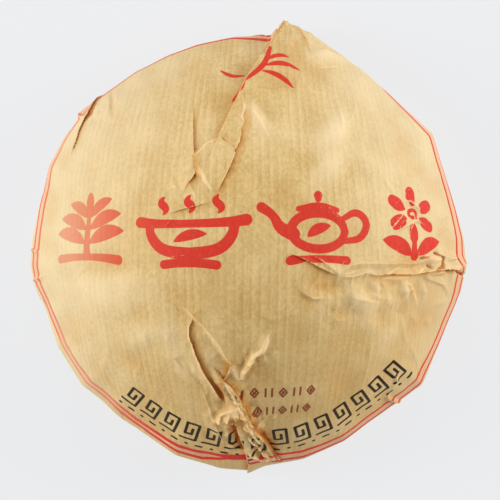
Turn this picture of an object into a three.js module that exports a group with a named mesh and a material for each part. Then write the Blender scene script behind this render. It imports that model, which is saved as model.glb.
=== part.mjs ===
// A tuocha: a dome-shaped cake of pressed pu-erh tea, shut in one sheet of ribbed kraft paper.
// It lies on the flat ring of its hollow base with the dome up. Millimetres, +Z up.
// The origin is the middle of the base, and the big flap where the paper ends points along +Y.
// The paper is one closed skin: a dome, a rim that turns in, a base ring and a tucked-in hollow.
import * as THREE from "three";

// ---- driving dimensions of the cake ----
const rimRadius = 54.3;           // mean radius of the widest line, the rim
const rimHeight = 8.5;            // the rim above the table
const domeRise = 47.5;            // the top of the dome above the rim
const domeFullness = 2.2;         // power of the dome's section: 2 is round, more is fuller
const domeShoulder = 1 / 1.15;    // under 1 the dome steepens as it comes to the rim
const outlineReach = 4;           // the bigger, the sooner the rim's corners fade up the dome
const domeCentre = [0.1, -1.7];   // the middle of the dome, seen from the middle of the whole

// ---- driving dimensions of the underside ----
const ringOuter = 46.5;           // the flat ring that it rests on
const ringInner = 39.5;
const hollowRadius = 24;          // the flat roof of the hollow under the cake
const hollowHeight = 14.5;
const pleatCount = 29;            // the paper is gathered underneath in pleats, all laid one way
const pleatHeight = 0.9;

// ---- how finely the skin is divided ----
const gridCells = 58;             // squares across the dome
const turnRows = 3;               // rows of faces round the rim
const wallRows = 3;               // up the wall of the hollow
const roofRows = 1;               // in over its roof
const snapShare = 0.34;           // a corner this near a fold, in grid squares, moves onto it
const slopeStep = 0.002;          // the share of the dome over which its slope is taken
const lap = 2.2;                  // the steep side of a fold that laps over
const foldHollow = 1.15;          // 1 gives a fold straight sides, more gives it hollow ones

// The rim seen from above is a many-sided outline: flat gores of paper meet at these corners,
// each given by its angle from +X in degrees and its distance from the dome's middle.
const rimCorners = [
  [4, 54.6], [12, 53.6], [22, 53.6], [33, 55.6], [50, 53.9], [59, 54.8], [66, 55.4], [75, 55.7],
  [84, 55.7], [94, 55.2], [104, 54.7], [112, 54.3], [122, 54.4], [133, 54.8], [141, 55.4],
  [148, 55.3], [156, 55.3], [168, 54.5], [176, 55], [183, 55.5], [188, 55], [195, 53.4],
  [206, 53.9], [218, 53.8], [225, 52.6], [231, 52.8], [237, 52.6], [250, 54.3], [262, 54.8],
  [270, 54.8], [275, 53.8], [285, 53.8], [297, 53.2], [305, 52.4], [311, 52.7], [323, 55],
  [330, 53.7], [340, 53.2], [350, 54.5], [356, 55.2],
];

// Folds in the paper. Each path is walked from point to point; a point gives x and y, seen from
// above, and how far the paper stands proud there. The paper slopes away from the path over
// the widths "left" and "right": a wide and a narrow one make a lap, a negative rise a groove.
// A point outside the rim lies as far round it, on the underside.
const folds = [
  // the big flap where the sheet ends, its right-hand edge and the facet below it
  {
    left: 24,
    right: lap,
    path: [[11.1, 62.7, 4.5], [9.2, 56.9, 4.5], [3.6, 46.5, 3], [-4.8, 31.8, 1.4], [-7.2, 26.3, 0.9]],
  },
  { left: lap, right: 6, path: [[-0.4, 35.7, 0], [-1.1, 29.5, 1.1], [-4.2, 19.4, 1.3], [-8.3, 11.6, 0]] },
  {
    left: 5,
    right: lap,
    path: [[-7.2, 26.3, 0.9], [-12.7, 21.6, 0.9], [-12.5, 18.7, 0.8], [-8.6, 13.3, 0]],
  },
  // creases beside the flap
  {
    left: lap,
    right: 5,
    path: [[-13.9, 37.3, 0], [-13.3, 28.6, 0.8], [-12.7, 17.5, 0.9], [-16, 12.9, 0]],
  },
  { left: 3, right: lap, path: [[-20.3, 7.9, 0], [-13.8, 9.4, 0.6], [-7.7, 11.4, 0]] },
  // ridges over the upper right of the dome
  { left: 4, right: lap, path: [[0.1, 34.3, 0], [2.8, 29.8, 1], [8.7, 16.7, 0]] },
  { left: 5, right: 6, path: [[15.4, 21.7, 0], [20.7, 28.2, 0.9], [25.4, 33.2, 0]] },
  { left: 5, right: 6, path: [[12.9, 12.2, 0], [19.3, 19.2, 0.9], [25.8, 25.3, 0]] },
  { left: 3.5, right: 5, path: [[12.9, 45.7, 0], [19.3, 47.5, 1.1], [25.9, 46.7, 0]] },
  // the pleat that runs in from the right of the rim, with a knot near its end
  { left: 3, right: lap, path: [[9.4, -1.5, 0], [16.5, -3.1, -1], [21.9, -7, -0.5], [23.9, -7.7, 0]] },
  {
    left: lap,
    right: 3.2,
    path: [[21.6, -6.2, 0.3], [27.8, -3.8, 1.1], [40.3, -3.9, 1.4], [44.5, -1.9, 1]],
  },
  {
    left: 3.2,
    right: lap,
    path: [[22.1, -6.5, 0.4], [31.6, -6.8, 1.4], [45.3, -5.7, 1.9], [53.4, -4.2, 1.2], [56.9, -3.9, 0]],
  },
  { left: 2.4, right: 2.4, path: [[44.6, -3.3, 3], [45.4, -3.2, 3]] },
  { left: 2.4, right: lap, path: [[42.7, -7.1, 0], [48.1, -9.7, 0.8], [51.6, -15.3, 0]] },
  // short folds that hang below the pleat
  ...[24, 28, 34, 39, 44].map((x) => ({
    left: lap,
    right: lap,
    path: [[x, -8, 0], [x + 0.4, -11, 0.7], [x, -15, 0]],
  })),
  // the long crumple that runs down to the rim below: its ridge and the V at its peak
  {
    left: 3.5,
    right: lap,
    path: [[-19.1, -11.1, 0], [-12.9, -16.9, 1], [-5.9, -25.4, 1.4], [-4.3, -27.9, 1.8]],
  },
  {
    left: lap,
    right: lap,
    path: [[-4.3, -28.6, 1.4], [-2.1, -31.6, 1.1], [0.1, -28.3, 1.3], [3.3, -24.9, 1.1], [5.2, -19.9, 0]],
  },
  // the rolled lip over its trough, the strip that laps to the right, and the lumps at its foot
  {
    left: lap,
    right: 4.5,
    path: [[-12.7, -16.5, 0.9], [-14.2, -21.3, 1], [-11.1, -28.9, 1.4], [-7.2, -36.4, 1], [-6.3, -38.3, 0]],
  },
  {
    left: lap,
    right: 3,
    path: [[-6, -31.9, 1.4], [-3.1, -35.9, 2.1], [0.4, -43.7, 2.7], [3.3, -48, 2.2], [7.7, -53.6, 0.6]],
  },
  { left: lap, right: lap, path: [[-8.5, -43.9, 0.6], [-5.5, -40, 1.9], [-2.3, -39.2, 2.4]] },
  { left: 2.6, right: lap, path: [[-3, -42.5, 1.6], [-1.1, -48, 1.8], [-0.2, -54.1, 1], [-0.6, -62.3, 0]] },
  { left: lap, right: lap, path: [[-4, -43.3, -0.6], [-2.3, -49.1, -1.6], [-1.6, -51.3, 0]] },
  { left: lap, right: lap, path: [[2.1, -42.7, 0], [5.4, -49.2, -2], [7.5, -54.3, 0]] },
  {
    left: lap,
    right: 2.4,
    path: [[-15.5, -27.1, 0], [-11.6, -34.4, 0.7], [-9, -41.4, 1], [-5.7, -50.1, 0]],
  },
  // the slit where the sheet is folded over at the upper left of the rim, and the tab beside it
  { left: 4, right: lap, path: [[-35.3, 41.1, 0], [-37.9, 36.5, 0.9], [-42.7, 27.8, 0.7], [-44.9, 22.4, 0]] },
  {
    left: lap,
    right: lap,
    path: [[-36.3, 41.3, -1], [-38.4, 36.9, -1.9], [-43, 27.9, -0.8], [-45, 23.1, 0]],
  },
  { left: lap, right: lap, path: [[-45.5, 28.7, 0], [-42.7, 32.8, 0.8], [-40, 37.3, 0]] },
  // broad swells at the lower left
  { left: 7, right: 5, path: [[-31.1, -24.8, 0], [-25.3, -21.4, 0.8], [-20.6, -18.3, 0]] },
  { left: 5, right: 7, path: [[-20.7, -12.8, 0], [-19.1, -20.1, 0.6], [-14.9, -25.5, 0]] },
];

const whole = 2 * Math.PI;
const boundaryCount = 4 * gridCells;

// How high the dome is at a share t of the way from its middle to the rim.
function domeHeight(t) {
  return rimHeight + domeRise * Math.pow(Math.max(0, 1 - Math.pow(t, domeFullness)), domeShoulder);
}

// The dome's section as a list of steps: the share t and the length of paper from the middle.
function measureDome(steps) {
  const table = [{ t: 0, length: 0 }];
  for (let i = 1; i <= steps; i += 1) {
    const from = table[i - 1].t;
    const to = i / steps;
    const step = Math.hypot(rimRadius * (to - from), domeHeight(to) - domeHeight(from));
    table.push({ t: to, length: table[i - 1].length + step });
  }
  return table;
}

const domeTable = measureDome(600);
const paperToRim = domeTable[domeTable.length - 1].length;

// Reads the table from one of its columns to the other, between its steps.
function lookUp(value, from, to) {
  let i = 1;
  while (i < domeTable.length - 1 && domeTable[i][from] < value) i += 1;
  const a = domeTable[i - 1];
  const b = domeTable[i];
  return THREE.MathUtils.mapLinear(value, a[from], b[from], a[to], b[to]);
}

// The rim's distance from the dome's middle in one direction, on the straight edges between
// the corners.
function outlineRadius(angle) {
  const degrees = THREE.MathUtils.euclideanModulo(THREE.MathUtils.radToDeg(angle), 360);
  let next = rimCorners.findIndex((corner) => corner[0] > degrees);
  if (next < 0) next = rimCorners.length;
  const a = rimCorners[(next + rimCorners.length - 1) % rimCorners.length];
  const b = rimCorners[next % rimCorners.length];
  const fromA = THREE.MathUtils.degToRad(THREE.MathUtils.euclideanModulo(degrees - a[0], 360));
  const gap = THREE.MathUtils.degToRad(THREE.MathUtils.euclideanModulo(b[0] - a[0], 360));
  const across = a[1] * Math.sin(fromA) + b[1] * Math.sin(gap - fromA);
  return (a[1] * b[1] * Math.sin(gap)) / across;
}

// The plan radius of the dome at a share t, in a direction where the rim is at `outline`.
function domePlanRadius(t, outline) {
  return t * (rimRadius + (outline - rimRadius) * Math.pow(t, outlineReach));
}

// Where a point seen from above lies on the flat sheet: the same direction from the middle,
// at the length of paper that reaches it.
function unroll(x, y) {
  const px = x - domeCentre[0];
  const py = y - domeCentre[1];
  const angle = Math.atan2(py, px);
  const reach = Math.hypot(px, py);
  const outline = outlineRadius(angle);
  let length = paperToRim + reach - outline;
  if (reach < outline) {
    let t = reach / rimRadius;
    for (let i = 0; i < 8; i += 1) t *= reach / domePlanRadius(Math.max(t, 1e-6), outline);
    length = lookUp(t, "t", "length");
  }
  return new THREE.Vector2(length * Math.cos(angle), length * Math.sin(angle));
}

// The folds laid out on the flat sheet as straight runs, each with its rise at both ends.
const runs = folds.flatMap((fold) => {
  const points = fold.path.map(([x, y]) => unroll(x, y));
  return points.slice(1).map((end, i) => ({
    fold,
    start: points[i],
    end,
    startRise: fold.path[i][2],
    endRise: fold.path[i + 1][2],
  }));
});

// The nearest point of a run to a place on the sheet, how far off it is and on which side.
function nearestOnRun(run, place) {
  const along = run.end.clone().sub(run.start);
  const offset = place.clone().sub(run.start);
  const share = THREE.MathUtils.clamp(offset.dot(along) / along.lengthSq(), 0, 1);
  const point = run.start.clone().addScaledVector(along, share);
  return {
    fold: run.fold,
    point,
    distance: place.distanceTo(point),
    isLeft: along.cross(offset) > 0,
    rise: THREE.MathUtils.lerp(run.startRise, run.endRise, share),
  };
}

// The height that the folds give the paper at a place on the sheet. Each fold acts from its
// own nearest point. The highest fold there and the deepest groove count, and the others don't.
function foldHeight(place) {
  const nearest = new Map();
  for (const run of runs) {
    const hit = nearestOnRun(run, place);
    const best = nearest.get(run.fold);
    if (!best || hit.distance < best.distance) nearest.set(run.fold, hit);
  }
  let raised = 0;
  let sunk = 0;
  for (const [fold, hit] of nearest) {
    const width = hit.isLeft ? fold.left : fold.right;
    const nearness = Math.max(0, 1 - hit.distance / width);
    const height = hit.rise * Math.pow(nearness, foldHollow);
    raised = Math.max(raised, height);
    sunk = Math.min(sunk, height);
  }
  return raised + sunk;
}

// Moves a place on the sheet onto a fold that runs close by, so that the fold is an edge.
function snapToFold(place, limit) {
  let best = null;
  for (const run of runs) {
    const hit = nearestOnRun(run, place);
    if (hit.distance < limit && (!best || hit.distance < best.distance)) best = hit;
  }
  return best ? best.point : place;
}

// A square grid drawn onto a disc so that its squares stay nearly even: the place on the sheet
// for grid column i and row j.
function gridPlace(i, j) {
  const a = (2 * i) / gridCells - 1;
  const b = (2 * j) / gridCells - 1;
  if (a === 0 && b === 0) return new THREE.Vector2(0, 0);
  const sideways = Math.abs(a) > Math.abs(b);
  const length = (sideways ? a : b) * paperToRim;
  const angle = sideways ? (Math.PI / 4) * (b / a) : Math.PI / 2 - (Math.PI / 4) * (a / b);
  return new THREE.Vector2(length * Math.cos(angle), length * Math.sin(angle));
}

// A point of the dome: the place on the sheet, lifted off the smooth dome by its folds.
function domePoint(place) {
  const angle = Math.atan2(place.y, place.x);
  const t = lookUp(Math.min(place.length(), paperToRim), "length", "t");
  const above = Math.max(t - slopeStep, 0);
  const below = Math.min(t + slopeStep, 1);
  const slope = (domeHeight(below) - domeHeight(above)) / (rimRadius * (below - above));
  const outward = -slope / Math.hypot(1, slope);
  const upward = 1 / Math.hypot(1, slope);
  const height = foldHeight(place);
  const reach = domePlanRadius(t, outlineRadius(angle)) + outward * height;
  return skinPoint(angle, reach, domeHeight(t) + upward * height);
}

// A point of the skin from its direction and reach from the dome's middle and its height.
function skinPoint(angle, reach, z) {
  const x = domeCentre[0] + reach * Math.cos(angle);
  const y = domeCentre[1] + reach * Math.sin(angle);
  return new THREE.Vector3(x, y, z);
}

// The pleats underneath: a saw with a long back and a short front for each pleat.
function pleatSaw(angle) {
  const turn = (angle / whole) * pleatCount;
  return pleatHeight * THREE.MathUtils.euclideanModulo(turn, 1);
}

// A row under the rim, `share` of the way round its turn: it runs from the rim to the ring,
// still carries the folds that come over the rim, and takes on the pleats.
function turnPoint(angle, share) {
  const bend = (share * Math.PI) / 2;
  const outline = outlineRadius(angle);
  const paper = paperToRim + (share * Math.PI * rimHeight) / 2;
  const fade = 1 - share;
  const height = foldHeight(new THREE.Vector2(paper * Math.cos(angle), paper * Math.sin(angle))) * fade;
  const pleat = pleatSaw(angle) * Math.sin(share * Math.PI);
  const reach = ringOuter + (outline - ringOuter) * Math.cos(bend) + height - pleat;
  return skinPoint(angle, reach, rimHeight * (1 - Math.sin(bend)));
}

// A row up the wall of the hollow, and in over its roof.
function wallPoint(angle, share) {
  const ease = THREE.MathUtils.smoothstep(share, 0, 1);
  const pleat = pleatSaw(angle) * Math.sin(share * Math.PI);
  const reach = THREE.MathUtils.lerp(ringInner, hollowRadius, share);
  return skinPoint(angle, reach, hollowHeight * ease + pleat);
}

// The heights that the folds and pleats give each place, and the faces between them.
function buildSkin() {
  const points = [];
  const faces = [];
  const rises = [];

  // the dome, on its grid; corners on the rim stay where they are
  const side = gridCells + 1;
  const cell = (2 * paperToRim) / gridCells;
  for (let j = 0; j < side; j += 1) {
    for (let i = 0; i < side; i += 1) {
      const onRim = i === 0 || j === 0 || i === gridCells || j === gridCells;
      const even = gridPlace(i, j);
      const place = onRim ? even : snapToFold(even, cell * snapShare);
      points.push(domePoint(place));
      rises.push(Math.abs(foldHeight(place)));
    }
  }
  for (let j = 0; j < gridCells; j += 1) {
    for (let i = 0; i < gridCells; i += 1) {
      const a = j * side + i;
      const b = a + 1;
      const c = a + side + 1;
      const d = a + side;
      // the quarter of the disc sets the way that its squares are cut, unless a fold crosses
      const foldCut = rises[a] + rises[c] - rises[b] - rises[d];
      const evenCut = (i - gridCells / 2 + 0.5) * (j - gridCells / 2 + 0.5);
      const cutAC = Math.abs(foldCut) > 0.05 ? foldCut > 0 : evenCut > 0;
      if (cutAC) faces.push(a, b, c, a, c, d);
      else faces.push(a, b, d, b, c, d);
    }
  }

  // the grid's edge, walked once round against the clock from its lower left corner
  let row = [];
  for (let k = 0; k < gridCells; k += 1) row.push(k);
  for (let k = 0; k < gridCells; k += 1) row.push(k * side + gridCells);
  for (let k = gridCells; k > 0; k -= 1) row.push(gridCells * side + k);
  for (let k = gridCells; k > 0; k -= 1) row.push(k * side);

  // each further row hangs on the one before it
  function addRow(pointAt) {
    const next = row.map((_, k) => {
      const angle = -0.75 * Math.PI + (whole * k) / boundaryCount;
      points.push(pointAt(angle));
      return points.length - 1;
    });
    for (let k = 0; k < boundaryCount; k += 1) {
      const after = (k + 1) % boundaryCount;
      faces.push(row[k], next[k], next[after], row[k], next[after], row[after]);
    }
    row = next;
  }
  for (let k = 1; k <= turnRows; k += 1) addRow((angle) => turnPoint(angle, k / turnRows));
  addRow((angle) => skinPoint(angle, ringInner, 0));
  for (let k = 1; k <= wallRows; k += 1) addRow((angle) => wallPoint(angle, k / wallRows));
  for (let k = 1; k <= roofRows; k += 1) {
    const reach = hollowRadius * (1 - k / (roofRows + 1));
    addRow((angle) => skinPoint(angle, reach, hollowHeight));
  }
  points.push(skinPoint(0, 0, hollowHeight));
  const middle = points.length - 1;
  for (let k = 0; k < boundaryCount; k += 1) {
    faces.push(row[k], middle, row[(k + 1) % boundaryCount]);
  }
  return { points, faces };
}

const { points, faces } = buildSkin();
const skin = new THREE.BufferGeometry().setFromPoints(points);
skin.setIndex(faces);
skin.computeVertexNormals();

const kraft = new THREE.MeshStandardMaterial({ color: 0xd9b986, roughness: 0.62, metalness: 0 });
const tuocha = new THREE.Mesh(skin, kraft);
tuocha.name = "wrapped_tuocha";

const part = new THREE.Group();
part.add(tuocha);

export default part;
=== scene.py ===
"""A tuocha, a dome of pressed pu-erh, shut in one sheet of ribbed kraft paper.

The paper is one fine mesh in place of the plain CAD solid. It is worked out on the flat sheet:
a place on the sheet is a direction from the middle of the dome and a length of paper. The folds,
the print and the ribs are all laid out on that sheet, and then the sheet is wrapped.
"""
import math

import bpy
import numpy as np
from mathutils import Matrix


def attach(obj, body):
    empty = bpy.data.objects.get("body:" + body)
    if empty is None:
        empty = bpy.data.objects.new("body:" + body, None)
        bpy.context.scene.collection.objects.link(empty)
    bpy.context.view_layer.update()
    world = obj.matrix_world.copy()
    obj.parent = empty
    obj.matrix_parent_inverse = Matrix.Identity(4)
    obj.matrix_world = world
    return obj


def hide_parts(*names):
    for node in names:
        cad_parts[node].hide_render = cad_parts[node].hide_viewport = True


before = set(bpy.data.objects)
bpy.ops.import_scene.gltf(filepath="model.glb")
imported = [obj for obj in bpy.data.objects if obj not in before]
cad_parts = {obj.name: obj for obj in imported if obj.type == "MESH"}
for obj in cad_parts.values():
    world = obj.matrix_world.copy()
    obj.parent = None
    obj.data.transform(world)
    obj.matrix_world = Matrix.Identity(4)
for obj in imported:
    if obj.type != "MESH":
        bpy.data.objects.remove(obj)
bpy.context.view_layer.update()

MM = 0.001

# ---- the cake, in millimetres, as in the CAD model ----
RIM_RADIUS = 54.3
RIM_HEIGHT = 8.5
DOME_RISE = 47.5
DOME_FULLNESS = 2.2
DOME_SHOULDER = 1 / 1.15
OUTLINE_REACH = 4
DOME_CENTRE = (0.1, -1.7)
RING_OUTER = 46.5
RING_INNER = 39.5
HOLLOW_RADIUS = 24
HOLLOW_HEIGHT = 14.5
PLEAT_COUNT = 29
PLEAT_TWIST = 0.30        # the share of a full turn that the pleats wind on their way in
PLEAT_RISE = 0.93         # the share of its width over which a pleat rises
PLEAT_DROP = 0.07         # and over which its edge drops again

# ---- the mesh ----
GRID_CELLS = 400          # squares across the dome, and again across the underside
SNAP_SHARE = 0.34         # a corner this near a fold, in grid squares, moves onto it
LAP = 0.45                # width of the steep side of a lap
UNDER = 0.3               # how far a lap's edge hangs over its foot
LAP_STRETCH = 2.0         # the paper beside a lap slides under it from this far away
FULL_LINE = 0.8           # the rise of a fold whose pale line of wear and painted highlight and whose dark line of painted shade are at full width
FULL_WARMTH = 0.17        # the dark line of a lap whose warm shade is at its strongest
WARM_REACH = 1.8          # how far that shade reaches from the lap's foot
CREST_POINT = 1.15        # above 1, a fold is pointed at its crest
FAR = 5.0                 # stands for no line near
FRET_REACH = 59           # how far down the sheet the key fret is
FRET_WIDTH = 5.8          # of one of its blocks
DASH_REACH = 66           # how far down the row of dots and dashes is
INK_EDGE = 0.09           # half the width over which the print fades out
LINE_EDGE = 0.16          # and the same for the lines along the folds
SHARP_CREASE = 34         # degrees between faces above which a crease is shaded as a sharp one

# ---- the picture ----
CAMERA_HEIGHT = 900       # above the rim
CAMERA_AIM = (0.35, -0.7)
VIEW_WIDTH = 126.75       # what the picture spans at the rim
SENSOR = 36
FLOOR_GAP = 0.1           # between the cake and the floor
FLOOR_GLOW = 0.755        # what the floor gives off, to come out as pale as in the photo
STUDIO_WHITE = (0.97, 0.98, 1, 1)

# The rim from above: corners between flat gores of paper, as (degrees from +X, distance).
RIM_CORNERS = [
    (4, 54.6), (12, 53.6), (22, 53.6), (33, 55.6), (50, 53.9), (59, 54.8), (66, 55.4), (75, 55.7),
    (84, 55.7), (94, 55.2), (104, 54.7), (112, 54.3), (122, 54.4), (133, 54.8), (141, 55.4),
    (148, 55.3), (156, 55.3), (168, 54.5), (176, 55), (183, 55.5), (188, 55), (195, 53.4),
    (206, 53.9), (218, 53.8), (225, 52.6), (231, 52.8), (237, 52.6), (250, 54.3), (262, 54.8),
    (270, 54.8), (275, 53.8), (285, 53.8), (297, 53.2), (305, 52.4), (311, 52.7), (323, 55),
    (330, 53.7), (340, 53.2), (350, 54.5), (356, 55.2),
]


# ---- folds in the paper ----

class Fold:
    """A path seen from above, of points (x, y, rise), the rise left out where the paper is level.

    The paper slopes away over the widths left and right of the path. A lap has one side as
    narrow as LAP, and a groove has negative rises. Along the crest of a high fold lies a pale
    line, partly wear and partly a painted highlight, and at its foot a dark line of painted
    shade: the keywords for these two lines give half their widths.
    """

    def __init__(self, left, right, *path, soft=False, wear_and_highlight_width=0.18, dark=0.17):
        self.left = left
        self.right = right
        self.path = [(*point, 0)[:3] for point in path]
        self.soft = soft
        self.wear_and_highlight_width = wear_and_highlight_width
        self.dark = dark


def swell(left, right, *path):
    """A rounded fold, with no lines along it."""
    return Fold(left, right, *path, soft=True)


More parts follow.
